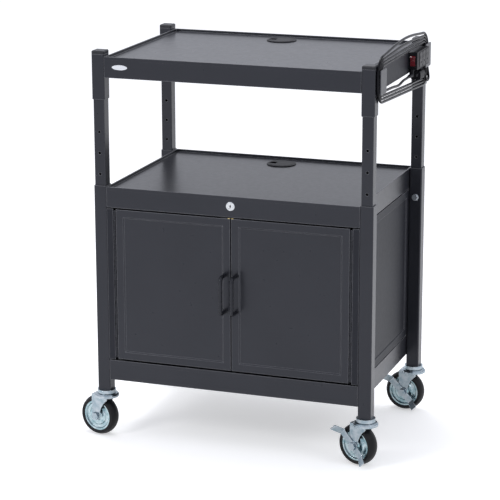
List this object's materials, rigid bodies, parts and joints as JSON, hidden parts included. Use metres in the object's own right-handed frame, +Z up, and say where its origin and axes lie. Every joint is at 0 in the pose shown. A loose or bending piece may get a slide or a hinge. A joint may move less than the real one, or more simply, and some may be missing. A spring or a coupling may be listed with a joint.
{
  "type": "projector cart",
  "caption": "Rolling steel projector cart with a two-door locking cabinet, open bay, height-adjustable top shelf, side power unit with wound cord, and swivel casters with brakes.",
  "frame": {"origin": "on the floor under the middle of the four legs", "axes": "front (doors) towards -Y, power unit on +X, +Z up"},
  "size_m": [0.7681, 0.5155, 0.9897],
  "materials": {
    "powder_coat": "semi-gloss black powder coat",
    "zinc_plate": "bright bluish zinc plate",
    "yellow_zinc": "yellow zinc plate",
    "chrome": "polished",
    "tyre_rubber": "matt black rubber",
    "black_plastic": "fine matt",
    "red_plastic": "glossy red",
    "cord_jacket": "smooth flexible plastic, semi-gloss"
  },
  "bodies": {
    "frame": {"leg_front_left": "powder_coat", "leg_front_right": "powder_coat", "leg_rear_left": "powder_coat", "leg_rear_right": "powder_coat", "shelf_bottom": "powder_coat", "shelf_middle": "powder_coat", "side_panel_left": "powder_coat", "side_panel_right": "powder_coat", "back_panel": "powder_coat", "height_bolts": "zinc_plate", "hinge_leaves_frame": "powder_coat", "hinge_pins": "zinc_plate", "lock_barrel": "chrome", "grommet_middle": "black_plastic", "caster_sockets": "zinc_plate"},
    "upper": {"risers": "powder_coat", "top_posts": "powder_coat", "post_caps": "black_plastic", "shelf_top": "powder_coat", "grommet_top": "black_plastic", "power_channel": "powder_coat", "outlet_box": "black_plastic", "receptacles": "black_plastic", "cord_relief": "black_plastic", "cord_hooks": "powder_coat", "cord_lead": "cord_jacket", "cord_hank": "cord_jacket", "cord_tail": "cord_jacket", "cord_plug": "black_plastic"},
    "door_left": {"door_left": "powder_coat", "hinge_leaf_door_left": "powder_coat", "handle_left": "powder_coat", "strike_left": "yellow_zinc"},
    "door_right": {"door_right": "powder_coat", "hinge_leaf_door_right": "powder_coat", "handle_right": "powder_coat", "strike_right": "yellow_zinc"},
    "lock": {"lock_plug": "chrome", "lock_cam": "zinc_plate"},
    "rocker": {"rocker_switch": "red_plastic"},
    "grommet_cap_middle": {"grommet_cap_middle": "black_plastic"},
    "grommet_cap_top": {"grommet_cap_top": "black_plastic"},
    "caster_front_left": {"caster_fork_front_left": "zinc_plate", "caster_axle_front_left": "zinc_plate"},
    "wheel_front_left": {"caster_rim_front_left": "zinc_plate", "caster_tyre_front_left": "tyre_rubber"},
    "caster_front_right": {"caster_fork_front_right": "zinc_plate", "caster_axle_front_right": "zinc_plate"},
    "wheel_front_right": {"caster_rim_front_right": "zinc_plate", "caster_tyre_front_right": "tyre_rubber"},
    "caster_rear_left": {"caster_fork_rear_left": "zinc_plate", "caster_axle_rear_left": "zinc_plate"},
    "wheel_rear_left": {"caster_rim_rear_left": "zinc_plate", "caster_tyre_rear_left": "tyre_rubber"},
    "caster_rear_right": {"caster_fork_rear_right": "zinc_plate", "caster_axle_rear_right": "zinc_plate"},
    "wheel_rear_right": {"caster_rim_rear_right": "zinc_plate", "caster_tyre_rear_right": "tyre_rubber"},
    "brake_front_right": {"brake_lever_front_right": "zinc_plate"},
    "brake_rear_right": {"brake_lever_rear_right": "zinc_plate"}
  },
  "joints": [
    {"name": "upper_height_slide", "type": "slide", "parent": "frame", "child": "upper", "axis": [0, 0, 1], "range_m": [-0.2032, 0.1016]},
    {"name": "door_left_hinge", "type": "hinge", "parent": "frame", "child": "door_left", "pos_m": [-0.29525, -0.2286, 0.3915], "axis": [0, 0, -1], "range_deg": [0, 105]},
    {"name": "door_right_hinge", "type": "hinge", "parent": "frame", "child": "door_right", "pos_m": [0.29525, -0.2286, 0.3915], "axis": [0, 0, 1], "range_deg": [0, 105]},
    {"name": "lock_turn", "type": "hinge", "parent": "frame", "child": "lock", "pos_m": [0, -0.218, 0.6087], "axis": [0, 1, 0], "range_deg": [0, 90]},
    {"name": "rocker_press", "type": "hinge", "parent": "upper", "child": "rocker", "pos_m": [0.3555, 0.0648, 0.924], "axis": [1, 0, 0], "range_deg": [0, 16]},
    {"name": "grommet_cap_middle_turn", "type": "hinge", "parent": "frame", "child": "grommet_cap_middle", "pos_m": [-0.01, 0.172, 0.6255], "axis": [0, 0, 1], "continuous": true},
    {"name": "grommet_cap_top_turn", "type": "hinge", "parent": "upper", "child": "grommet_cap_top", "pos_m": [-0.01, 0.172, 0.9385], "axis": [0, 0, 1], "continuous": true},
    {"name": "swivel_front_left", "type": "hinge", "parent": "frame", "child": "caster_front_left", "pos_m": [-0.331, -0.215, 0.11], "axis": [0, 0, 1], "continuous": true},
    {"name": "roll_front_left", "type": "hinge", "parent": "caster_front_left", "child": "wheel_front_left", "pos_m": [-0.35154, -0.21063, 0.05], "axis": [-0.2079, -0.9781, 0], "continuous": true},
    {"name": "swivel_front_right", "type": "hinge", "parent": "frame", "child": "caster_front_right", "pos_m": [0.331, -0.215, 0.11], "axis": [0, 0, 1], "continuous": true},
    {"name": "roll_front_right", "type": "hinge", "parent": "caster_front_right", "child": "wheel_front_right", "pos_m": [0.31127, -0.20782, 0.05], "axis": [-0.342, -0.9397, 0], "continuous": true},
    {"name": "brake_press_front_right", "type": "hinge", "parent": "caster_front_right", "child": "brake_front_right", "pos_m": [0.31127, -0.20782, 0.05], "axis": [-0.342, -0.9397, 0], "range_deg": [0, 14]},
    {"name": "swivel_rear_left", "type": "hinge", "parent": "frame", "child": "caster_rear_left", "pos_m": [-0.331, 0.215, 0.11], "axis": [0, 0, 1], "continuous": true},
    {"name": "roll_rear_left", "type": "hinge", "parent": "caster_rear_left", "child": "wheel_rear_left", "pos_m": [-0.35168, 0.21865, 0.05], "axis": [-0.1736, -0.9848, 0], "continuous": true},
    {"name": "swivel_rear_right", "type": "hinge", "parent": "frame", "child": "caster_rear_right", "pos_m": [0.331, 0.215, 0.11], "axis": [0, 0, 1], "continuous": true},
    {"name": "roll_rear_right", "type": "hinge", "parent": "caster_rear_right", "child": "wheel_rear_right", "pos_m": [0.31008, 0.21683, 0.05], "axis": [-0.0872, -0.9962, 0], "continuous": true},
    {"name": "brake_press_rear_right", "type": "hinge", "parent": "caster_rear_right", "child": "brake_rear_right", "pos_m": [0.31008, 0.21683, 0.05], "axis": [-0.0872, -0.9962, 0], "range_deg": [0, 14]}
  ]
}
